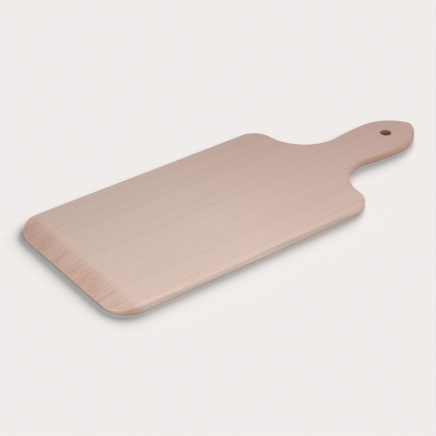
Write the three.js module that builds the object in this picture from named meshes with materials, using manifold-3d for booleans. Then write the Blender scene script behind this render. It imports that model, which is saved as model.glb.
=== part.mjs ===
// A beech spaetzle board: a panel glued up from staves, routed to one outline with its edges rounded
// over, planed to a scraping bevel along the front and drilled with a hanging hole.
// Millimetres, +Z up, +X towards the handle.
import * as THREE from "three";
import { mergeVertices, toCreasedNormals } from "three/addons/utils/BufferGeometryUtils.js";
import Module from "manifold-3d";

// Panel: the two staves that run on into the handle, and an edge stave each side for the rest of the width
const HANDLE_STAVE_WIDTH = 40;
const THICKNESS = 9;
const SANDED_ROUGHNESS = 0.6;

// Blade
const BLADE_WIDTH = 160;
const BLADE_LENGTH = 264;
const FRONT_CORNER_RADIUS = 23.5;
const SHOULDER_RADIUS = 20.5;

// Handle: a hollow neck, a slowly swelling belly and two flanks that close on a small nose
const NECK_WIDTH = 45;
const NECK_RADIUS = 40.5;
const HANDLE_WIDTH = 51.4;
const BELLY_RADIUS = 250;
const FLANK_RADIUS = 41.5;
const NOSE_RADIUS = 7.5;

// Edges, both faces
const ROUND_OVER = 3;

// Scraping bevel on the top face, down to a thin front edge
const BEVEL_LENGTH = 19.5;
const FRONT_EDGE_HEIGHT = 3.6;

// Hanging hole
const HOLE_DIAMETER = 10;
const HOLE_FROM_NOSE = 32.5;
const HOLE_EASING = 0.5;

// Facets
const SEGMENTS_PER_ARC = 16;
const ROUND_OVER_SEGMENTS = 6;
const HOLE_SEGMENTS = 32;
const CREASE_ANGLE = THREE.MathUtils.degToRad(30);

// How far a cutter, and the panel as glued up, runs past the finished wood
const OVERRUN = 5;

// Staves between their glue joints, from the left to the right of the cook who holds the handle
const panelEdge = BLADE_WIDTH / 2 + OVERRUN;
const STAVES = [
  { name: "left_edge_stave", colour: "#d7bfb4", from: -panelEdge, to: -HANDLE_STAVE_WIDTH },
  { name: "left_handle_stave", colour: "#d2b9ad", from: -HANDLE_STAVE_WIDTH, to: 0 },
  { name: "right_handle_stave", colour: "#ceb5a8", from: 0, to: HANDLE_STAVE_WIDTH },
  { name: "right_edge_stave", colour: "#c8afa2", from: HANDLE_STAVE_WIDTH, to: panelEdge },
];

// Arcs of the right side, each tangent to the next, from the nose back to the front edge at x = 0
function rightSideArcs() {
  const corner = { x: FRONT_CORNER_RADIUS, y: BLADE_WIDTH / 2 - FRONT_CORNER_RADIUS };
  const shoulder = { x: BLADE_LENGTH - SHOULDER_RADIUS, y: BLADE_WIDTH / 2 - SHOULDER_RADIUS };

  // The neck flows out of the shoulder, or follows a straight shoulder edge where there is room for one
  const neck = { y: NECK_WIDTH / 2 + NECK_RADIUS };
  const neckReach = SHOULDER_RADIUS + NECK_RADIUS;
  const neckRise = Math.max(0, neck.y - shoulder.y);
  neck.x = shoulder.x + Math.sqrt(neckReach ** 2 - neckRise ** 2);
  const shoulderAngle = Math.asin(neckRise / neckReach);

  // The belly touches the neck from the other side
  const belly = { y: HANDLE_WIDTH / 2 - BELLY_RADIUS };
  belly.x = neck.x + Math.sqrt((NECK_RADIUS + BELLY_RADIUS) ** 2 - (neck.y - belly.y) ** 2);
  const bellyAngle = Math.atan2(neck.y - belly.y, neck.x - belly.x);

  // The flank leaves the belly at the handle's widest place and runs inside it to the nose
  const flank = { x: belly.x, y: HANDLE_WIDTH / 2 - FLANK_RADIUS };
  const nose = { x: flank.x + Math.sqrt((FLANK_RADIUS - NOSE_RADIUS) ** 2 - flank.y ** 2), y: 0 };
  const noseAngle = Math.atan2(-flank.y, nose.x - flank.x);

  const quarter = Math.PI / 2;
  return [
    { ...nose, radius: NOSE_RADIUS, from: 0, to: noseAngle },
    { ...flank, radius: FLANK_RADIUS, from: noseAngle, to: quarter },
    { ...belly, radius: BELLY_RADIUS, from: quarter, to: bellyAngle },
    { ...neck, radius: NECK_RADIUS, from: bellyAngle + Math.PI, to: shoulderAngle + Math.PI, hollow: true },
    { ...shoulder, radius: SHOULDER_RADIUS, from: shoulderAngle, to: quarter },
    { ...corner, radius: FRONT_CORNER_RADIUS, from: quarter, to: Math.PI },
  ];
}

const rightSide = rightSideArcs();
const boardLength = rightSide[0].x + NOSE_RADIUS;

// The whole outline: the right side, then its mirror image run backwards
function boardOutline() {
  const leftSide = rightSide
    .map((arc) => ({ ...arc, y: -arc.y, from: -arc.to, to: -arc.from }))
    .reverse();
  const outline = new THREE.Shape();
  for (const { x, y, radius, from, to, hollow = false } of [...rightSide, ...leftSide]) {
    outline.absarc(x, y, radius, from, to, hollow);
  }
  return outline;
}

// The routed panel, with a quarter-round along every edge
function panelGeometry() {
  const panel = new THREE.ExtrudeGeometry(boardOutline(), {
    depth: THICKNESS - 2 * ROUND_OVER,
    curveSegments: SEGMENTS_PER_ARC / 2,
    bevelThickness: ROUND_OVER,
    bevelSize: ROUND_OVER,
    bevelOffset: -ROUND_OVER,
    bevelSegments: ROUND_OVER_SEGMENTS,
  });
  return panel.translate(0, 0, ROUND_OVER);
}

// What the plane takes off: a wedge above the slope from the front edge to the top face
function bevelCutter() {
  const slope = (THICKNESS - FRONT_EDGE_HEIGHT) / BEVEL_LENGTH;
  const top = THICKNESS + slope * OVERRUN;
  const wedge = new THREE.Shape();
  wedge.moveTo(-OVERRUN, FRONT_EDGE_HEIGHT - slope * OVERRUN);
  wedge.lineTo(BEVEL_LENGTH + OVERRUN, top);
  wedge.lineTo(-OVERRUN, top);
  const cutter = new THREE.ExtrudeGeometry(wedge, { depth: 2 * panelEdge, bevelEnabled: false });
  return cutter.rotateX(Math.PI / 2).translate(0, panelEdge, 0);
}

// The drill with its two countersinks, which break the edges of the hole
function holeCutter() {
  const bore = HOLE_DIAMETER / 2;
  const mouth = bore + HOLE_EASING + OVERRUN;
  const profile = [
    new THREE.Vector2(0, -OVERRUN),
    new THREE.Vector2(mouth, -OVERRUN),
    new THREE.Vector2(bore, HOLE_EASING),
    new THREE.Vector2(bore, THICKNESS - HOLE_EASING),
    new THREE.Vector2(mouth, THICKNESS + OVERRUN),
    new THREE.Vector2(0, THICKNESS + OVERRUN),
  ];
  const drill = new THREE.LatheGeometry(profile, HOLE_SEGMENTS);
  return drill.rotateX(Math.PI / 2).translate(boardLength - HOLE_FROM_NOSE, 0, 0);
}

// The strip of the panel that one stave fills
function staveStrip(from, to) {
  const length = boardLength + 2 * OVERRUN;
  const strip = new THREE.BoxGeometry(length, to - from, THICKNESS + 2 * OVERRUN);
  return strip.translate(boardLength / 2, (from + to) / 2, THICKNESS / 2);
}

const wasm = await Module();
wasm.setup();

function toSolid(geometry) {
  geometry.deleteAttribute("normal");
  geometry.deleteAttribute("uv");
  const welded = mergeVertices(geometry);
  const vertProperties = welded.attributes.position.array;
  const triVerts = new Uint32Array(welded.index.array);
  return new wasm.Manifold(new wasm.Mesh({ numProp: 3, vertProperties, triVerts }));
}

function toGeometry(solid) {
  const { vertProperties, triVerts } = solid.getMesh();
  const geometry = new THREE.BufferGeometry();
  geometry.setAttribute("position", new THREE.BufferAttribute(vertProperties, 3));
  geometry.setIndex(new THREE.BufferAttribute(triVerts, 1));
  return toCreasedNormals(geometry, CREASE_ANGLE);
}

const shapedPanel = toSolid(panelGeometry())
  .subtract(toSolid(bevelCutter()))
  .subtract(toSolid(holeCutter()));

// The board stands on z = 0 with its middle over the origin
const board = new THREE.Group();
board.position.x = -boardLength / 2;

for (const { name, colour, from, to } of STAVES) {
  const wood = new THREE.MeshStandardMaterial({ color: colour, roughness: SANDED_ROUGHNESS, metalness: 0 });
  const shaped = shapedPanel.intersect(toSolid(staveStrip(from, to)));
  const stave = new THREE.Mesh(toGeometry(shaped), wood);
  stave.name = name;
  board.add(stave);
}

export default board;
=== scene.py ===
from math import asin, atan2, cos, hypot, pi, radians, sin, sqrt
from typing import NamedTuple

import bmesh
import bpy
from bpy.props import FloatProperty, FloatVectorProperty, IntProperty, PointerProperty
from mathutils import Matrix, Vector


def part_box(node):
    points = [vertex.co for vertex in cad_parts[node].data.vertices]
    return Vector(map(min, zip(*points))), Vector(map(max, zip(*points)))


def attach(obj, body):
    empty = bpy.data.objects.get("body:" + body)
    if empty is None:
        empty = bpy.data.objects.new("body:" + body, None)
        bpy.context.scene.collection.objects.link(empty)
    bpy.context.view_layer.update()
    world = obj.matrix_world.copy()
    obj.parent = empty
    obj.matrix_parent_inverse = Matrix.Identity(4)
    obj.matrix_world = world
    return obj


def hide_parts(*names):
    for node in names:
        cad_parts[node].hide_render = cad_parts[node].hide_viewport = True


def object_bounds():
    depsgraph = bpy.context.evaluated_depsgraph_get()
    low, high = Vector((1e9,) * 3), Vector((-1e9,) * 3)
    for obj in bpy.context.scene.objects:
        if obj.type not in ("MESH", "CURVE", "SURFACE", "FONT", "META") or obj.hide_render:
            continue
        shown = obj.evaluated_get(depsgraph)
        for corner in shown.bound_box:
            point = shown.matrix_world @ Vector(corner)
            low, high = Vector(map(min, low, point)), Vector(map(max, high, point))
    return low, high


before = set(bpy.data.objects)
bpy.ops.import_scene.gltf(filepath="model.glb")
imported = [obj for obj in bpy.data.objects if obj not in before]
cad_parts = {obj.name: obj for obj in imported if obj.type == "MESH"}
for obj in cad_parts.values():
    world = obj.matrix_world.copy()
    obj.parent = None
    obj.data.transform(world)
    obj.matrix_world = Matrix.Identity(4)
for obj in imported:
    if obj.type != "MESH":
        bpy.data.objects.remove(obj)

bl_info = {
    "name": "Spaetzle Board",
    "version": (1, 0, 0),
    "blender": (4, 5, 0),
    "location": "View3D > Sidebar > Board",
    "description": "Models a beech spaetzle board, stave by stave, and the stage it lies on",
    "category": "Add Mesh",
}

CAD_LOW, CAD_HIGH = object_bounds()
MILLIMETRE = 0.001
# Two places closer than this are one place
SAME_PLACE = 0.01 * MILLIMETRE
# The front edge, the left side and the top face in millimetres, from which the finish is laid out
FRONT, LEFT, TOP = (edge / MILLIMETRE for edge in (CAD_LOW.x, CAD_LOW.y, CAD_HIGH.z))

# Passes of the sanding block over the ridge behind the bevel and over the front edge
RIDGE_PASSES = 4
ARRIS_PASSES = 5
# Steps across the broken edge of the hole, and the fewest steps in an arc of the outline
EASING_STEPS = 4
FEWEST_STEPS = 6
# Faces that meet at less than this are shaded as one
SMOOTH_BELOW = radians(35)


class Grain(NamedTuple):
    """How one stave was sawn from the log, in millimetres from the middle of the board's underside."""

    pith_across: float
    pith_depth: float
    lean: float
    taper: float
    ring_width: float
    ring_contrast: float
    band_contrast: float
    # How strongly the bevel's tint and painted shade show on this stave
    bevel_depth: float
    seed: float


# Each stave comes from another place in the log, and all are sawn so that the rings run straight along them
GRAINS = {
    "left_edge_stave": Grain(-230, -60, 0.012, 0.01, 2.6, 0.42, 0.18, 0.5, 3.1),
    "left_handle_stave": Grain(-150, -70, 0.01, 0.02, 2.9, 0.14, 0.15, 0.8, 7.4),
    "right_handle_stave": Grain(190, 30, -0.015, 0.02, 2.3, 0.12, 0.15, 0.56, 12.6),
    "right_edge_stave": Grain(135, -90, 0.02, -0.02, 2.7, 0.28, 0.2, 0.78, 18.2),
}


def linear(red, green, blue):
    """Turns a colour of 0 to 255, as seen on a screen, into the linear light that shaders take."""
    shares = (value / 255 for value in (red, green, blue))
    return tuple(s / 12.92 if s <= 0.04045 else ((s + 0.055) / 1.055) ** 2.4 for s in shares)


def length(name, description, millimetres):
    """A size property in metres, with its default given in millimetres."""
    metres = millimetres * MILLIMETRE
    return FloatProperty(name=name, description=description, default=metres, min=0, unit="LENGTH", precision=4)


def colour(name, description, red, green, blue):
    """A colour property with its default given as it is seen on a screen."""
    light = linear(red, green, blue)
    return FloatVectorProperty(name=name, description=description, default=light, min=0, max=1, subtype="COLOR")


def share(name, description, default):
    """A property that is a part of one."""
    return FloatProperty(name=name, description=description, default=default, min=0, max=2, subtype="FACTOR")


def angle(name, description, degrees):
    """An angle property with its default given in degrees."""
    return FloatProperty(name=name, description=description, default=radians(degrees), subtype="ANGLE")


class BoardSizes(bpy.types.PropertyGroup):
    """Sizes of the routed board. Its length, width and thickness come from the frame."""

    blade_length: length("Blade length", "From the front edge to the shoulders", 264)
    front_corner_radius: length("Front corner radius", "Plan radius of the two front corners", 23.5)
    shoulder_radius: length("Shoulder radius", "Plan radius of the two shoulders", 20.5)
    neck_width: length("Neck width", "Least width of the handle", 45)
    neck_radius: length("Neck radius", "Radius of the hollow between shoulder and handle", 40.5)
    handle_width: length("Handle width", "Greatest width of the handle", 51.4)
    belly_radius: length("Belly radius", "Radius of the slow swelling behind the neck", 250)
    flank_radius: length("Flank radius", "Radius of the sides that close on the nose", 41.5)
    nose_radius: length("Nose radius", "Radius of the handle's end", 7.5)
    round_over: length("Round-over", "Radius of the rounded edges of both faces", 3)
    bevel_length: length("Bevel length", "From the front edge to where the bevel meets the top", 19.5)
    front_edge_height: length("Front edge height", "Height that the bevel leaves at the front edge", 3.6)
    front_arris: length("Front arris", "Radius that the sharp line of the front edge is sanded to", 0.6)
    bevel_ridge: length("Bevel ridge", "Radius that the line between bevel and top is sanded to", 30)
    hole_diameter: length("Hole diameter", "Bore of the hanging hole", 10)
    hole_from_nose: length("Hole from nose", "From the handle's end to the middle of the hole", 32.5)
    hole_easing: length("Hole easing", "How far the edges of the hole are broken", 0.5)
    arc_steps: IntProperty(
        name="Arc steps", description="Steps in a quarter turn of the outline", default=28, min=4
    )
    edge_steps: IntProperty(name="Edge steps", description="Steps across a rounded edge", default=8, min=2)


class BeechFinish(bpy.types.PropertyGroup):
    """Colours of the sanded, unoiled beech. A tint is what the colour under it is multiplied by."""

    # The tone across the blade is partly the wood's own and partly painted light, lighter at the left edge as
    # the light falls off across the board
    left_tone: colour("Left tone", "Wood at the left edge of the blade", 211, 188, 176)
    right_tone: colour("Right tone", "Wood at the right edge of the blade", 185, 161, 149)
    # Partly the wood's own drift and partly painted light: it keeps the front lighter and greyer, as the sheen
    # of the light behind the board leaves it
    handle_tone_and_sheen: colour("Handle tint", "Tint of the wood towards the handle's end", 229, 213, 212)
    late_wood: colour("Late wood", "Tint of the dense wood that ends a year", 236, 222, 213)
    warm_band: colour("Warm band", "Tint of the darker years", 243, 226, 214)
    ray_fleck: colour("Ray fleck", "Tint of the small rays that dot the face", 243, 230, 221)
    # The bevel's tint is partly the wood cut at a slant and partly painted shade, as the bevel leans away from
    # the light
    bevel_grain_and_shade: colour("Planed bevel", "Tint of the bevel, cut across the fibres at a slant", 240, 219, 207)
    end_grain: colour("End grain", "Tint of wood cut square across the fibres", 252, 244, 236)
    # The front corners' tint is partly their darker end grain and partly painted shade, where they turn away
    # from the light
    corner_grain_and_shade: colour("Soaked front", "Tint of the front corners, which drink most", 229, 210, 198)
    routed_edge: colour("Routed edge", "Tint of the upright sides, left closed by the router", 247, 252, 254)
    grip_edge: colour("Grip edge", "Tint of the handle's burnished sides", 243, 239, 225)
    bored_wall: colour("Bored wall", "Tint of the hole's wall, which the drill has browned", 226, 196, 178)
    glue_line: colour("Glue line", "Tint of the film of glue in a joint", 220, 200, 180)


class StudioSettings(bpy.types.PropertyGroup):
    """The floor, the light and the place of the camera."""

    floor_colour: colour("Floor", "Pale floor", 240, 236, 235)
    background: colour("Background", "What shows beyond the floor", 240, 236, 235)
    contact_reach: length("Contact reach", "How far the soft shadow beside the board's edges reaches", 30)
    shade_tone: colour("Shade tone", "What the floor turns to where that shadow is deepest", 0, 48, 50)
    contact_depth: share("Contact depth", "How much light is left in the deepest part of that shadow", 0.43)
    back_light: share("Back light", "Part of the floor's light that comes from behind the board", 0.17)
    handle_light: share("Handle light", "Part of the floor's light that comes from the handle's end", 0.09)
    near_light: share("Near light", "Part of the floor's light that comes from the camera's right", 0.335)
    front_light: share("Front light", "Part of the floor's light that comes from before the front", 0.125)
    dome_light: share("Dome light", "Part of the floor's light that comes evenly from all round", 0.25)
    camera_azimuth: angle("Azimuth", "Way the camera looks, from +Y towards +X", 37.595)
    camera_elevation: angle("Elevation", "How steeply the camera looks down", 33.245)
    camera_distance: length("Distance", "From the camera to what it looks at", 1107.7)
    camera_aim: FloatVectorProperty(
        name="Aim", description="What the camera looks at", default=(-0.04405, -0.00874, 0), unit="LENGTH"
    )
    camera_lens: FloatProperty(
        name="Lens", description="Focal length in mm on a 36 mm frame", default=107.37, min=1
    )


class NodeBuilder:
    """Adds nodes to one shader tree and links them."""

    def __init__(self, tree):
        self.tree = tree

    def feed(self, socket, value):
        """Links an output to the socket, or sets the socket to a plain value."""
        if isinstance(value, bpy.types.NodeSocket):
            self.tree.links.new(value, socket)
        else:
            socket.default_value = value

    def add(self, kind, inputs, **settings):
        """Adds a node, changes its settings and feeds the inputs that are named."""
        node = self.tree.nodes.new("ShaderNode" + kind)
        for setting, value in settings.items():
            setattr(node, setting, value)
        for socket, value in inputs.items():
            self.feed(node.inputs[socket], value)
        return node

    def math(self, operation, *values):
        """Works out one number."""
        return self.add("Math", dict(enumerate(values)), operation=operation).outputs["Value"]

    def vector(self, operation, *values):
        """Works out one vector."""
        return self.add("VectorMath", dict(enumerate(values)), operation=operation).outputs["Vector"]

    def product(self, value, *factors):
        """Multiplies numbers."""
        for factor in factors:
            value = self.math("MULTIPLY", value, factor)
        return value

    def greatest(self, value, *others):
        """The greatest of some numbers."""
        for other in others:
            value = self.math("MAXIMUM", value, other)
        return value

    def rest_of(self, mask):
        """What a mask leaves out."""
        return self.math("SUBTRACT", 1.0, mask)

    def sway(self, value, pattern, amount):
        """Moves a value by a pattern of 0 to 1, up and down by half the amount."""
        return self.math("MULTIPLY_ADD", pattern, amount, self.math("SUBTRACT", value, amount / 2))

    def scale(self, vector, factor):
        """Multiplies a vector, or a colour, by a number."""
        return self.add("VectorMath", {0: vector, "Scale": factor}, operation="SCALE").outputs["Vector"]

    def distance(self, vector):
        """How long a vector is."""
        return self.add("VectorMath", {0: vector}, operation="LENGTH").outputs["Value"]

    def stretch(self, place, *cell):
        """Scales a place so that a pattern of unit cells gets cells of this size in millimetres."""
        return self.vector("DIVIDE", place, [size * MILLIMETRE for size in cell])

    def split(self, place):
        """The x, y and z of a place or a normal."""
        return self.add("SeparateXYZ", {"Vector": place}).outputs

    def remap(self, value, low, high, to_low=0.0, to_high=1.0, interpolation="LINEAR"):
        """Carries a value from one range to another and holds it at the ends."""
        inputs = {"Value": value, "From Min": low, "From Max": high, "To Min": to_low, "To Max": to_high}
        return self.add("MapRange", inputs, interpolation_type=interpolation).outputs["Result"]

    def ramp(self, place, low, high, to_low=0.0, to_high=1.0):
        """Carries a place along one axis, between two places in millimetres, to another range."""
        return self.remap(place, low * MILLIMETRE, high * MILLIMETRE, to_low, to_high)

    def fade(self, mask, outside, inside):
        """Goes from one number to another as a mask goes from 0 to 1."""
        return self.remap(mask, 0.0, 1.0, outside, inside)

    def line_noise(self, value, detail):
        """Soft noise along one number."""
        inputs = {"W": value, "Scale": 1.0, "Detail": detail}
        return self.add("TexNoise", inputs, noise_dimensions="1D").outputs["Fac"]

    def noise(self, place, seed, detail):
        """Soft noise with cells of about one unit."""
        inputs = {"Vector": place, "W": seed, "Scale": 1.0, "Detail": detail}
        return self.add("TexNoise", inputs, noise_dimensions="4D").outputs

    def mix(self, factor, first, second, blend="MIX"):
        """Mixes two colours, or tints the first by the second."""
        node = self.add("Mix", {0: factor, 6: first, 7: second}, data_type="RGBA", blend_type=blend)
        return node.outputs[2]

    def group(self, make, name, inputs):
        """Places a shared group of nodes, which is made when it is first wanted."""
        return self.add("Group", inputs, node_tree=bpy.data.node_groups.get(name) or make()).outputs


def node_group(name, inputs, outputs):
    """Starts a shader node group with a vector, these numbers going in and these numbers coming out."""
    tree = bpy.data.node_groups.new(name, "ShaderNodeTree")
    tree.interface.new_socket("Vector", in_out="INPUT", socket_type="NodeSocketVector")
    for socket in inputs:
        tree.interface.new_socket(socket, in_out="INPUT", socket_type="NodeSocketFloat")
    for socket in outputs:
        tree.interface.new_socket(socket, in_out="OUTPUT", socket_type="NodeSocketFloat")
    given = tree.nodes.new("NodeGroupInput").outputs
    result = tree.nodes.new("NodeGroupOutput").inputs
    return tree, NodeBuilder(tree), given, result


def growth_rings():
    """Yearly rings round a pith, as a board sawn from the log shows them."""
    inputs = ("Pith Across", "Pith Depth", "Lean", "Taper", "Ring Width", "Seed")
    tree, nodes, given, result = node_group("Growth Rings", inputs, ("Late Wood", "Band"))

    # The log was never quite straight or round
    wander = nodes.noise(nodes.stretch(given["Vector"], 170, 60, 60), given["Seed"], 2.0)["Color"]
    swing = nodes.scale(nodes.vector("SUBTRACT", wander, (0.5, 0.5, 0.5)), 9 * MILLIMETRE)
    x, y, z = nodes.split(nodes.vector("ADD", given["Vector"], swing))

    across = nodes.math("SUBTRACT", y, given["Pith Across"])
    across = nodes.math("SUBTRACT", across, nodes.product(given["Lean"], x))
    depth = nodes.math("SUBTRACT", z, given["Pith Depth"])
    depth = nodes.math("ADD", depth, nodes.product(given["Taper"], x))
    radius = nodes.math("SQRT", nodes.math("ADD", nodes.product(across, across), nodes.product(depth, depth)))

    # Good and bad years change the width of the rings
    years = nodes.math("DIVIDE", radius, given["Ring Width"])
    seasons = nodes.line_noise(nodes.math("MULTIPLY_ADD", years, 0.23, given["Seed"]), 1.0)
    years = nodes.math("MULTIPLY_ADD", seasons, 1.8, years)

    # A year ends in dense wood, which comes slowly and stops at once, in some years more than in others
    phase = nodes.math("FRACT", years)
    rise = nodes.remap(phase, 0.25, 0.9, interpolation="SMOOTHSTEP")
    fall = nodes.remap(phase, 0.93, 1.0, 1.0, 0.0, interpolation="SMOOTHSTEP")
    year = nodes.math("ADD", nodes.math("FLOOR", years), given["Seed"])
    chance = nodes.add("TexWhiteNoise", {"W": year}, noise_dimensions="1D").outputs["Value"]
    nodes.feed(result["Late Wood"], nodes.product(nodes.fade(chance, 0.35, 1.0), nodes.product(rise, fall)))

    # Several darker years in a row make a broad band
    spell = nodes.line_noise(nodes.math("MULTIPLY_ADD", radius, 95.0, given["Seed"]), 1.5)
    nodes.feed(result["Band"], nodes.remap(spell, 0.42, 0.72, interpolation="SMOOTHSTEP"))
    return tree


def ray_flecks():
    """The short dark spindles in which the rays of beech end on a face."""
    tree, nodes, given, result = node_group("Ray Flecks", ("Seed",), ("Fleck",))
    drift = nodes.noise(nodes.stretch(given["Vector"], 12, 3, 3), given["Seed"], 1.0)["Color"]
    place = nodes.vector("ADD", nodes.stretch(given["Vector"], 4.2, 0.95, 0.95), drift)
    inputs = {"Vector": place, "W": given["Seed"], "Scale": 1.0}
    spots = nodes.add("TexVoronoi", inputs, voronoi_dimensions="4D")
    size = nodes.fade(nodes.split(spots.outputs["Color"])[0], 0.12, 0.42)
    edge = nodes.math("DIVIDE", spots.outputs["Distance"], size)
    nodes.feed(result["Fleck"], nodes.remap(edge, 0.55, 1.0, 1.0, 0.0, interpolation="SMOOTHSTEP"))
    return tree


def fibres():
    """Long streaks and fine pores that follow the length of the board."""
    tree, nodes, given, result = node_group("Fibres", ("Seed",), ("Streak", "Pore"))
    x, y, z = nodes.split(given["Vector"])
    # The fibres climb slowly out of the face
    climb = nodes.math("MULTIPLY_ADD", x, 0.07, z)
    climbing = nodes.add("CombineXYZ", {0: x, 1: y, 2: climb}).outputs["Vector"]
    streak = nodes.noise(nodes.stretch(climbing, 75, 1.15, 4), given["Seed"], 3.0)
    pore = nodes.noise(nodes.stretch(climbing, 9, 0.32, 0.6), given["Seed"], 2.0)
    nodes.feed(result["Streak"], nodes.remap(streak["Fac"], 0.25, 0.75))
    nodes.feed(result["Pore"], nodes.remap(pore["Fac"], 0.3, 0.75))
    return tree


class Spot(NamedTuple):
    """What a stave's finish goes by: where a point lies on the board and which way its surface faces."""

    place: bpy.types.NodeSocket
    x: bpy.types.NodeSocket
    y: bpy.types.NodeSocket
    z: bpy.types.NodeSocket
    upwards: bpy.types.NodeSocket
    level: bpy.types.NodeSocket
    endwards: bpy.types.NodeSocket


def find_spot(nodes):
    """Reads a point's place, how far it faces up, how level it lies and how squarely the fibres end there."""
    whereabouts = nodes.add("TexCoord", {}).outputs
    place = whereabouts["Object"]
    facing = nodes.split(whereabouts["Normal"])
    level = nodes.math("ABSOLUTE", facing["Z"])
    endwards = nodes.math("ABSOLUTE", facing["X"])
    return Spot(place, *nodes.split(place), facing["Z"], level, endwards)


def glue_joints(node):
    """Where, across the board, a stave is glued to its neighbours, and which way each joint faces."""
    low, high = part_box(node)
    sides = ((low.y, -1), (high.y, 1))
    return [side for side in sides if CAD_LOW.y + SAME_PLACE < side[0] < CAD_HIGH.y - SAME_PLACE]


def glue_film(nodes, spot, node):
    """The film of glue in a stave's joints."""
    film = None
    for joint, _ in glue_joints(node):
        gap = nodes.math("ABSOLUTE", nodes.math("SUBTRACT", spot.y, joint))
        film = gap if film is None else nodes.math("MINIMUM", film, gap)
    return nodes.ramp(film, 0.04, 0.14, 1.0, 0.0)


def bevel_zone(nodes, spot):
    """The front of the board, as far back as the bevel reaches."""
    return nodes.ramp(spot.x, FRONT + 27, FRONT + 6)


def planed_slope(nodes, spot, streak, patch):
    """The planed bevel, whose upper end is ragged because the fibres tear there."""
    ragged = nodes.sway(nodes.sway(spot.upwards, streak, 0.012), patch, 0.01)
    slope = nodes.product(nodes.remap(ragged, 0.996, 0.968), nodes.remap(spot.upwards, 0.8, 0.94))
    return nodes.product(slope, bevel_zone(nodes, spot))


def eased_edges(nodes, spot, cut_across):
    """The rounded edges, less of them at the nose and at the front, and the rim of the left side: where the
    painted highlight lies and the streaks are stronger.
    """
    eased = nodes.product(
        nodes.remap(spot.level, 0.97, 0.6),
        nodes.rest_of(cut_across),
        nodes.ramp(spot.x, 175, 140, 0.2, 1.0),
        nodes.ramp(spot.x, FRONT + 20, FRONT + 55, 0.2, 1.0),
    )
    return nodes.greatest(eased, nodes.ramp(spot.y, LEFT + 8, LEFT + 3, 0.0, 0.35))


def grip_left_side(nodes, spot, grip):
    """The grip, most on its left, where the handle's edges get a painted highlight and the grip-edge tint."""
    return nodes.product(
        grip, nodes.ramp(spot.x, 175, 145, 0.35, 1.0), nodes.ramp(spot.y, 0, 15, 1.0, 0.3)
    )


def front_corner_sides(nodes, spot):
    """The rounded sides of the front corners."""
    return nodes.product(
        nodes.remap(spot.level, 0.92, 0.55),
        nodes.ramp(spot.x, FRONT + 24, FRONT + 12),
        nodes.remap(spot.endwards, 0.85, 0.5),
    )


def bored_wood(nodes, spot, sizes):
    """The wall of the hanging hole and a little of its broken edges."""
    axis = (CAD_HIGH.x - sizes.hole_from_nose, 0, 0)
    from_axis = nodes.vector("MULTIPLY", nodes.vector("SUBTRACT", spot.place, axis), (1, 1, 0))
    bore = sizes.hole_diameter / 2
    return nodes.remap(nodes.distance(from_axis), bore + 0.6 * MILLIMETRE, bore + 0.25 * MILLIMETRE)


def painted_front_highlight(nodes, spot, sizes):
    """A painted highlight on the front's lines: round its corners and along its edge."""
    radius = sizes.front_corner_radius
    past_x = nodes.math("MAXIMUM", nodes.math("SUBTRACT", CAD_LOW.x + radius, spot.x), 0.0)
    past_y = nodes.math("SUBTRACT", nodes.math("ABSOLUTE", spot.y), CAD_HIGH.y - radius)
    past_y = nodes.math("MAXIMUM", past_y, 0.0)
    from_corner = nodes.distance(nodes.add("CombineXYZ", {0: past_x, 1: past_y}).outputs["Vector"])
    # On the round-over the line runs further in, the higher it lies
    reach = nodes.math("ADD", from_corner, nodes.ramp(spot.z, 7.5, TOP, 0.0, sizes.round_over))
    crest = nodes.product(
        nodes.remap(reach, radius - 1.4 * MILLIMETRE, radius - 0.5 * MILLIMETRE, 0.0, 0.16),
        nodes.remap(spot.upwards, 0.9, 0.955),
        nodes.ramp(past_y, 2, 8),
    )

    fall = (CAD_HIGH.z - sizes.front_edge_height) / sizes.bevel_length
    bevel = nodes.math("MULTIPLY_ADD", spot.x, fall, sizes.front_edge_height - CAD_LOW.x * fall)
    under_bevel = nodes.math("SUBTRACT", bevel, spot.z)
    arris = nodes.product(nodes.ramp(under_bevel, 0.9, 0.25, 0.0, 0.14), nodes.remap(spot.upwards, 0.95, 0.8))
    return nodes.product(nodes.math("ADD", arris, crest), bevel_zone(nodes, spot))


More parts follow.
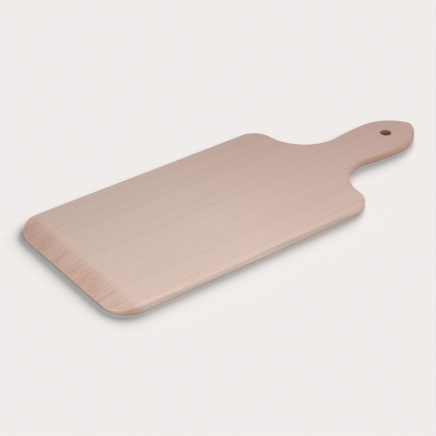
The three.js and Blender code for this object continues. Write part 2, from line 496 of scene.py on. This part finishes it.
def sanded_beech(node, sizes, finish):
    """The finish of one stave: its grain, the bevel planed across it, and painted highlights and painted shade
    on its edges, front corners and hole.
    """
    grain = GRAINS[node]
    wood = bpy.data.materials.new(node.replace("_", " ") + " beech")
    wood.use_nodes = True
    nodes = NodeBuilder(wood.node_tree)
    shader = wood.node_tree.nodes["Principled BSDF"]
    spot = find_spot(nodes)

    log = {"Vector": spot.place, "Seed": grain.seed}
    rings = nodes.group(growth_rings, "Growth Rings", {
        **log,
        "Pith Across": grain.pith_across * MILLIMETRE,
        "Pith Depth": grain.pith_depth * MILLIMETRE,
        "Lean": grain.lean,
        "Taper": grain.taper,
        "Ring Width": grain.ring_width * MILLIMETRE,
    })
    fleck = nodes.group(ray_flecks, "Ray Flecks", log)["Fleck"]
    fibre = nodes.group(fibres, "Fibres", log)
    patch = nodes.noise(nodes.stretch(spot.place, 30, 14, 14), grain.seed, 1.0)["Fac"]
    torn = nodes.noise(nodes.stretch(spot.place, 60, 3.2, 12), grain.seed, 1.0)["Fac"]

    cut_across = nodes.remap(spot.endwards, 0.4, 0.95)
    upright = nodes.remap(spot.level, 0.1, 0.65, 1.0, 0.0)
    planed = planed_slope(nodes, spot, fibre["Streak"], patch)
    eased = eased_edges(nodes, spot, cut_across)
    grip = nodes.ramp(spot.x, 60, 130)
    grip_left = grip_left_side(nodes, spot, grip)
    bored = bored_wood(nodes, spot, sizes)

    # Streaks are strongest where the fibres are cut, and the plane tears the bevel besides
    cut_fibres = nodes.greatest(cut_across, planed, nodes.product(nodes.greatest(eased, upright), 0.6))
    streaks = nodes.math("SUBTRACT", 0.5, fibre["Streak"])
    streaks = nodes.math("MULTIPLY_ADD", streaks, nodes.fade(cut_fibres, 0.05, 0.42), 1.0)
    tears = nodes.math("SUBTRACT", 0.5, torn)
    streaks = nodes.math("MULTIPLY_ADD", tears, nodes.product(planed, 0.2), streaks)
    pores = nodes.fade(fibre["Pore"], 1.025, 0.97)

    # The rounded edges get a painted highlight above and painted shade below, and the front's lower sides and
    # the hole's lower half get painted shade
    height = nodes.ramp(spot.z, 2, 7, nodes.fade(grip, 0.84, 0.98), 1.12)
    painted_light = nodes.math("MULTIPLY_ADD", nodes.math("SUBTRACT", height, 1.0), eased, 1.0)
    # A painted highlight on the upper part of the grip's rounded edges
    grip_highlight = nodes.product(nodes.remap(spot.level, 0.98, 0.9), nodes.remap(spot.level, 0.45, 0.75, 0.0, 0.08))
    painted_light = nodes.math("ADD", painted_light, nodes.product(grip_highlight, grip_left))
    painted_light = nodes.math("ADD", painted_light, painted_front_highlight(nodes, spot, sizes))
    # Painted shade on the lower sides near the front
    low_front_shade = nodes.product(nodes.ramp(spot.x, FRONT + 60, FRONT + 25), nodes.ramp(spot.z, 4.5, 1.5, 0.0, 0.14))
    painted_light = nodes.math("SUBTRACT", painted_light, nodes.product(low_front_shade, upright))
    # Painted shade deeper in the hole, and a little painted light near its top
    bore_shade = nodes.ramp(spot.z, 2, 8, -0.5, 0.1)
    painted_light = nodes.product(painted_light, nodes.math("MULTIPLY_ADD", bore_shade, bored, 1.0))

    # Across the blade the tone goes from left to right, partly the wood's own and partly painted light falling
    # off from the left
    across = nodes.remap(spot.y, CAD_LOW.y, CAD_HIGH.y)
    tone = nodes.mix(across, (*finish.left_tone, 1), (*finish.right_tone, 1))
    tone = nodes.scale(tone, nodes.product(painted_light, nodes.product(streaks, pores)))
    # How strongly this stave shows the bevel's tint and painted shade
    bevel_depth = nodes.remap(patch, 0.3, 0.7, grain.bevel_depth - 0.2, grain.bevel_depth + 0.2)
    for factor, tint in (
        # Partly the wood's drift along its length, partly painted light that keeps the front lighter, as the
        # back light's sheen does
        (nodes.ramp(spot.x, -60, 160), finish.handle_tone_and_sheen),
        (nodes.product(rings["Late Wood"], grain.ring_contrast), finish.late_wood),
        (nodes.product(rings["Band"], grain.band_contrast), finish.warm_band),
        (nodes.product(fleck, nodes.rest_of(cut_across)), finish.ray_fleck),
        # The bevel: partly its slanting cut, partly painted shade where it leans away from the light
        (nodes.product(planed, bevel_depth), finish.bevel_grain_and_shade),
        (cut_across, finish.end_grain),
        # The front corners' sides: partly their darker end grain, partly painted shade where they turn away
        # from the light
        (front_corner_sides(nodes, spot), finish.corner_grain_and_shade),
        (nodes.product(nodes.rest_of(grip), upright), finish.routed_edge),
        (nodes.product(grip_left, nodes.remap(spot.level, 0.3, 0.97, 1.0, 0.0)), finish.grip_edge),
        (bored, finish.bored_wall),
        (glue_film(nodes, spot, node), finish.glue_line),
    ):
        tone = nodes.mix(factor, tone, (*tint, 1), "MULTIPLY")
    nodes.feed(shader.inputs["Base Color"], tone)

    roughness = nodes.math("MULTIPLY_ADD", fibre["Pore"], 0.08, nodes.fade(cut_across, 0.42, 0.52))
    nodes.feed(shader.inputs["Roughness"], roughness)
    shader.inputs["Specular IOR Level"].default_value = 0.4
    relief = nodes.math("MULTIPLY_ADD", fibre["Streak"], 0.5, nodes.math("ADD", fibre["Pore"], fleck))
    bump = nodes.add("Bump", {"Height": relief, "Strength": 0.35, "Distance": 0.05 * MILLIMETRE}, invert=True)
    nodes.feed(shader.inputs["Normal"], bump.outputs["Normal"])
    return wood


def start_object(name):
    """Adds a new object at the origin and leaves it in edit mode as one vertex there."""
    bpy.ops.object.select_all(action="DESELECT")
    bpy.ops.mesh.primitive_plane_add(size=MILLIMETRE)
    piece = bpy.context.object
    piece.name = piece.data.name = name
    bpy.ops.object.mode_set(mode="EDIT")
    bpy.ops.mesh.select_mode(type="VERT")
    bpy.ops.mesh.merge(type="CENTER")
    return piece


def select_edges(piece, wanted):
    """Selects, in edit mode, the edges that pass the test and nothing else."""
    bpy.ops.mesh.select_mode(type="EDGE")
    bpy.ops.mesh.select_all(action="DESELECT")
    mesh = bmesh.from_edit_mesh(piece.data)
    for edge in mesh.edges:
        edge.select = wanted(edge)
    mesh.select_flush_mode()
    bmesh.update_edit_mesh(piece.data)


def cut_away(place, outwards):
    """Cuts the mesh in edit mode along a plane, takes off what lies outwards of it and closes the cut."""
    bpy.ops.mesh.select_all(action="SELECT")
    bpy.ops.mesh.bisect(
        plane_co=place, plane_no=outwards, use_fill=True, clear_outer=True, threshold=SAME_PLACE / 10
    )


def apply_modifier(piece, kind, **settings):
    """Adds a modifier with these settings and applies it."""
    modifier = piece.modifiers.new(kind.title(), kind)
    for setting, value in settings.items():
        setattr(modifier, setting, value)
    bpy.ops.object.modifier_apply(modifier=modifier.name)


def draw_outline(sizes):
    """Draws the left half of the outline from the nose to the front edge, and mirrors it."""
    front = CAD_LOW.x
    side = CAD_LOW.y

    # The middles of the arcs, each of which is tangent to the next
    corner = Vector((front + sizes.front_corner_radius, side + sizes.front_corner_radius, 0))
    shoulder = Vector((front + sizes.blade_length - sizes.shoulder_radius, side + sizes.shoulder_radius, 0))

    neck = Vector((0, -sizes.neck_width / 2 - sizes.neck_radius, 0))
    neck_reach = sizes.shoulder_radius + sizes.neck_radius
    neck_rise = shoulder.y - neck.y
    neck.x = shoulder.x + sqrt(neck_reach**2 - neck_rise**2)
    shoulder_angle = asin(neck_rise / neck_reach)

    belly = Vector((0, sizes.belly_radius - sizes.handle_width / 2, 0))
    belly.x = neck.x + sqrt((sizes.neck_radius + sizes.belly_radius) ** 2 - (belly.y - neck.y) ** 2)
    belly_angle = atan2(belly.y - neck.y, neck.x - belly.x)

    flank = Vector((belly.x, sizes.flank_radius - sizes.handle_width / 2, 0))
    nose = Vector((flank.x + sqrt((sizes.flank_radius - sizes.nose_radius) ** 2 - flank.y**2), 0, 0))
    nose_angle = atan2(flank.y, nose.x - flank.x)

    def turn(centre, angle):
        steps = max(FEWEST_STEPS, round(abs(angle) / (pi / 2) * sizes.arc_steps))
        bpy.ops.mesh.spin(steps=steps, angle=angle, center=centre, axis=(0, 0, 1))

    def run(step):
        bpy.ops.mesh.extrude_region_move(TRANSFORM_OT_translate={"value": step})

    bpy.ops.transform.translate(value=(nose.x + sizes.nose_radius, 0, 0))
    turn(nose, nose_angle)
    turn(flank, pi / 2 - nose_angle)
    turn(belly, belly_angle - pi / 2)
    turn(neck, shoulder_angle - belly_angle)
    turn(shoulder, pi / 2 - shoulder_angle)
    run((corner.x - shoulder.x, 0, 0))
    turn(corner, pi / 2)
    run((0, -corner.y, 0))

    bpy.ops.mesh.select_all(action="SELECT")
    bpy.ops.mesh.symmetrize(direction="NEGATIVE_Y", threshold=SAME_PLACE)
    bpy.ops.mesh.select_all(action="SELECT")
    bpy.ops.mesh.remove_doubles(threshold=SAME_PLACE)
    bpy.ops.mesh.edge_face_add()


def round_edges(piece, sizes):
    """Rounds the edges of both faces all the way round."""

    def lies_flat(edge):
        low, high = (vert.co.z for vert in edge.verts)
        return abs(high - low) < SAME_PLACE

    select_edges(piece, lies_flat)
    bpy.ops.mesh.bevel(offset=sizes.round_over, segments=sizes.edge_steps, profile=0.5, affect="EDGES")


def lean_forward(tilt):
    """The direction that points up, tilted towards the front."""
    return Vector((-sin(tilt), 0, cos(tilt)))


def sand_line(corner, first, second, radius, passes):
    """Sands the line where two planes that lean forward meet, pass by pass, to a radius."""
    bisector = (first + second) / 2
    middle = corner - lean_forward(bisector) * radius / cos((second - first) / 2)
    for step in range(passes):
        outwards = lean_forward(first + (second - first) * (step + 1) / (passes + 1))
        cut_away(middle + outwards * radius, outwards)


def plane_bevel(sizes):
    """Planes the scraping bevel down to the front edge, and sands its ridge and its front line."""
    foot = Vector((CAD_LOW.x, 0, sizes.front_edge_height))
    ridge = Vector((CAD_LOW.x + sizes.bevel_length, 0, CAD_HIGH.z))
    tilt = atan2(ridge.z - foot.z, ridge.x - foot.x)
    cut_away(foot, lean_forward(tilt))
    sand_line(ridge, 0, tilt, sizes.bevel_ridge, RIDGE_PASSES)
    sand_line(foot, tilt, pi / 2, sizes.front_arris, ARRIS_PASSES)


def drill_hole(piece, sizes):
    """Drills the hanging hole and breaks its edges."""
    bpy.ops.object.mode_set(mode="OBJECT")
    middle = Vector((CAD_HIGH.x - sizes.hole_from_nose, 0, CAD_HIGH.z / 2))
    radius = sizes.hole_diameter / 2
    bpy.ops.object.select_all(action="DESELECT")
    bpy.ops.mesh.primitive_cylinder_add(
        vertices=2 * sizes.arc_steps, radius=radius, depth=2 * CAD_HIGH.z, location=middle
    )
    drill = bpy.context.object
    bpy.context.view_layer.objects.active = piece
    apply_modifier(piece, "BOOLEAN", object=drill, operation="DIFFERENCE", solver="EXACT")
    bpy.data.objects.remove(drill)

    def on_rim(edge):
        places = [vert.co - middle for vert in edge.verts]
        on_bore = all(abs(hypot(place.x, place.y) - radius) < SAME_PLACE for place in places)
        return on_bore and abs(places[0].z - places[1].z) < SAME_PLACE

    bpy.ops.object.mode_set(mode="EDIT")
    select_edges(piece, on_rim)
    bpy.ops.mesh.bevel(offset=sizes.hole_easing, segments=EASING_STEPS, profile=0.5, affect="EDGES")


def routed_panel(sizes):
    """Models the whole board as one panel, before it is parted along its glue joints."""
    panel = start_object("panel")
    draw_outline(sizes)
    bpy.ops.mesh.select_all(action="SELECT")
    bpy.ops.mesh.extrude_region_move(TRANSFORM_OT_translate={"value": (0, 0, CAD_HIGH.z)})
    bpy.ops.mesh.select_all(action="SELECT")
    bpy.ops.mesh.normals_make_consistent(inside=False)
    round_edges(panel, sizes)
    plane_bevel(sizes)
    drill_hole(panel, sizes)
    bpy.ops.object.mode_set(mode="OBJECT")
    return panel


def part_stave(panel, node, sizes, finish):
    """Copies the panel, keeps what lies between one stave's joints and closes the sawn faces."""
    bpy.ops.object.select_all(action="DESELECT")
    panel.select_set(True)
    bpy.context.view_layer.objects.active = panel
    bpy.ops.object.duplicate()
    stave = bpy.context.object
    stave.name = stave.data.name = node + "_wood"
    bpy.ops.object.mode_set(mode="EDIT")
    for joint, outwards in glue_joints(node):
        cut_away((0, joint, 0), (0, outwards, 0))
    bpy.ops.mesh.select_all(action="SELECT")
    bpy.ops.mesh.normals_make_consistent(inside=False)
    bpy.ops.object.mode_set(mode="OBJECT")
    bpy.ops.object.shade_smooth_by_angle(angle=SMOOTH_BELOW)
    apply_modifier(stave, "WEIGHTED_NORMAL", keep_sharp=True)
    stave.data.materials.append(sanded_beech(node, sizes, finish))
    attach(stave, "root")
    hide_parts(node)


def part_pair(scene, pair):
    """Models the panel and parts the left and the right stave of one pair from it."""
    panel = routed_panel(scene.board_sizes)
    for side in ("left", "right"):
        part_stave(panel, f"{side}_{pair}_stave", scene.board_sizes, scene.beech_finish)
    bpy.data.objects.remove(panel)


class BOARD_OT_edge_staves(bpy.types.Operator):
    """Models the two outer staves of the blade"""

    bl_idname = "spaetzle_board.edge_staves"
    bl_label = "Edge Staves"

    def execute(self, context):
        part_pair(context.scene, "edge")
        return {"FINISHED"}


class BOARD_OT_handle_staves(bpy.types.Operator):
    """Models the two staves that run on into the handle"""

    bl_idname = "spaetzle_board.handle_staves"
    bl_label = "Handle Staves"

    def execute(self, context):
        part_pair(context.scene, "handle")
        return {"FINISHED"}


class Lamp(NamedTuple):
    """Where a lamp hangs, in degrees from +Y towards +X and above the floor, and how broad it looks."""

    azimuth: float
    elevation: float
    breadth: float
    casts_shadow: bool = True


# The lamp before the front only fills in, as a reflector does
LAMPS = {
    "back_light": Lamp(40, 50, 46),
    "handle_light": Lamp(95, 60, 36),
    "near_light": Lamp(176, 49, 50),
    "front_light": Lamp(275, 25, 40, casts_shadow=False),
}

FLOOR_WIDTH = 8
# How far the floor lies under the board, so that the two never share a surface
FLOOR_GAP = 0.1 * MILLIMETRE
# What the floor gives back to the board's sides, whatever the camera sees of its shade
FLOOR_BOUNCE = (0.92, 0.92, 0.92, 1)


def compass(azimuth, elevation):
    """The direction at an angle from +Y towards +X and at a height above the floor."""
    return Vector((sin(azimuth) * cos(elevation), cos(azimuth) * cos(elevation), sin(elevation)))


def contact_shade(nodes, studio):
    """The soft shade beside the board: how deep it is on each spot of the floor."""
    along = nodes.split(nodes.add("TexCoord", {}).outputs["Object"])["X"]
    under_handle = nodes.ramp(along, 60, 110)
    before_front = nodes.ramp(along, FRONT + 15, FRONT - 5)

    # It lies before the front and the left side, away from a low light behind the handle
    low_light = compass(radians(80), radians(8))
    towards_light = nodes.add("CombineXYZ", dict(enumerate(low_light))).outputs["Vector"]
    inputs = {"Distance": studio.contact_reach, "Normal": towards_light}
    open_sky = nodes.add("AmbientOcclusion", inputs, samples=32).outputs["AO"]
    deepest = nodes.fade(under_handle, 0.66, 0.72)
    runs_out = nodes.fade(before_front, 0.905, 0.877)
    softness = nodes.fade(under_handle, 0.86, 0.6)
    spread = nodes.math("POWER", nodes.remap(open_sky, deepest, runs_out, 1.0, 0.0), softness)
    depth = 1.0 - studio.contact_depth
    spread = nodes.product(spread, nodes.fade(under_handle, depth, 0.9 * depth))

    # There is less of it right at the edges, where the lamps' own shadows lie
    beside = nodes.add("AmbientOcclusion", {"Distance": 5 * MILLIMETRE}, samples=16).outputs["AO"]
    clear_of_edge = nodes.fade(before_front, 0.75, 0.86)
    at_edge = nodes.fade(before_front, 0.62, 0.2)
    return nodes.product(spread, nodes.remap(beside, 0.36, clear_of_edge, at_edge, 1.0))


def lay_floor(studio):
    """Lays a wide, matt floor just under the board, with a soft shade beside it for the camera."""
    bpy.ops.object.select_all(action="DESELECT")
    bpy.ops.mesh.primitive_plane_add(size=FLOOR_WIDTH, location=(0, 0, -FLOOR_GAP))
    floor = bpy.context.object
    floor.name = floor.data.name = "floor"
    paint = bpy.data.materials.new("pale floor")
    paint.use_nodes = True
    shader = paint.node_tree.nodes["Principled BSDF"]
    nodes = NodeBuilder(paint.node_tree)
    seen = nodes.add("LightPath", {}).outputs["Is Camera Ray"]
    shaded = nodes.mix(contact_shade(nodes, studio), (*studio.floor_colour, 1), (*studio.shade_tone, 1))
    nodes.feed(shader.inputs["Base Color"], nodes.mix(seen, FLOOR_BOUNCE, shaded))
    shader.inputs["Roughness"].default_value = 1
    shader.inputs["Specular IOR Level"].default_value = 0
    floor.data.materials.append(paint)


def surround(scene, studio):
    """Sets an even dome of light that shows the pale background to the camera and in reflections."""
    scene.world = bpy.data.worlds.new("studio")
    scene.world.use_nodes = True
    nodes = NodeBuilder(scene.world.node_tree)
    dome = scene.world.node_tree.nodes["Background"]
    dome.inputs["Color"].default_value = (1, 1, 1, 1)
    dome.inputs["Strength"].default_value = studio.dome_light
    shown = nodes.add("Background", {"Color": (*studio.background, 1)})
    ray = nodes.add("LightPath", {}).outputs
    seen = nodes.greatest(ray["Is Camera Ray"], ray["Is Glossy Ray"], ray["Is Transmission Ray"])
    choice = nodes.add("MixShader", {0: seen, 1: dome.outputs["Background"], 2: shown.outputs["Background"]})
    nodes.feed(scene.world.node_tree.nodes["World Output"].inputs["Surface"], choice.outputs["Shader"])


def hang_light(name, lamp, part):
    """Hangs a broad, far-off light that gives a level floor this part of its light."""
    elevation, breadth = radians(lamp.elevation), radians(lamp.breadth)
    lost_to_breadth = (1 + 1 / cos(breadth / 2)) / 2
    bpy.ops.object.light_add(type="SUN")
    light = bpy.context.object
    light.name = light.data.name = name
    light.data.energy = part * pi / sin(elevation) * lost_to_breadth
    light.data.angle = breadth
    light.data.use_shadow = lamp.casts_shadow
    light.rotation_euler = compass(radians(lamp.azimuth), elevation).to_track_quat("Z", "Y").to_euler()


def place_camera(scene, studio):
    """Places the camera where the board was photographed from."""
    looks = compass(studio.camera_azimuth, -studio.camera_elevation)
    bpy.ops.object.camera_add(location=Vector(studio.camera_aim) - studio.camera_distance * looks)
    camera = bpy.context.object
    camera.rotation_euler = looks.to_track_quat("-Z", "Y").to_euler()
    camera.data.lens = studio.camera_lens
    camera.data.sensor_width = 36
    camera.data.sensor_fit = "HORIZONTAL"
    scene.camera = camera


class BOARD_OT_stage(bpy.types.Operator):
    """Lays the floor, sets the lights and places the camera"""

    bl_idname = "spaetzle_board.stage"
    bl_label = "Stage"

    def execute(self, context):
        studio = context.scene.studio_settings
        lay_floor(studio)
        surround(context.scene, studio)
        for name, lamp in LAMPS.items():
            hang_light(name.replace("_", " "), lamp, getattr(studio, name))
        place_camera(context.scene, studio)
        context.scene.view_settings.view_transform = "Standard"
        return {"FINISHED"}


class BOARD_PT_panel(bpy.types.Panel):
    """Lists the sizes, the colours and the steps of the board"""

    bl_idname = "BOARD_PT_panel"
    bl_label = "Spaetzle Board"
    bl_space_type = "VIEW_3D"
    bl_region_type = "UI"
    bl_category = "Board"

    def draw(self, context):
        layout = self.layout
        scene = context.scene
        for settings in (scene.board_sizes, scene.beech_finish, scene.studio_settings):
            box = layout.box()
            for name in settings.__annotations__:
                box.prop(settings, name)
        for operator in OPERATORS:
            layout.operator(operator.bl_idname)


OPERATORS = (BOARD_OT_edge_staves, BOARD_OT_handle_staves, BOARD_OT_stage)
CLASSES = (BoardSizes, BeechFinish, StudioSettings, *OPERATORS, BOARD_PT_panel)


def register():
    for cls in CLASSES:
        bpy.utils.register_class(cls)
    bpy.types.Scene.board_sizes = PointerProperty(type=BoardSizes)
    bpy.types.Scene.beech_finish = PointerProperty(type=BeechFinish)
    bpy.types.Scene.studio_settings = PointerProperty(type=StudioSettings)


def unregister():
    del bpy.types.Scene.studio_settings
    del bpy.types.Scene.beech_finish
    del bpy.types.Scene.board_sizes
    for cls in reversed(CLASSES):
        bpy.utils.unregister_class(cls)


def main():
    register()
    bpy.ops.spaetzle_board.edge_staves()
    bpy.ops.spaetzle_board.handle_staves()
    bpy.ops.spaetzle_board.stage()


if __name__ == "__main__":
    main()
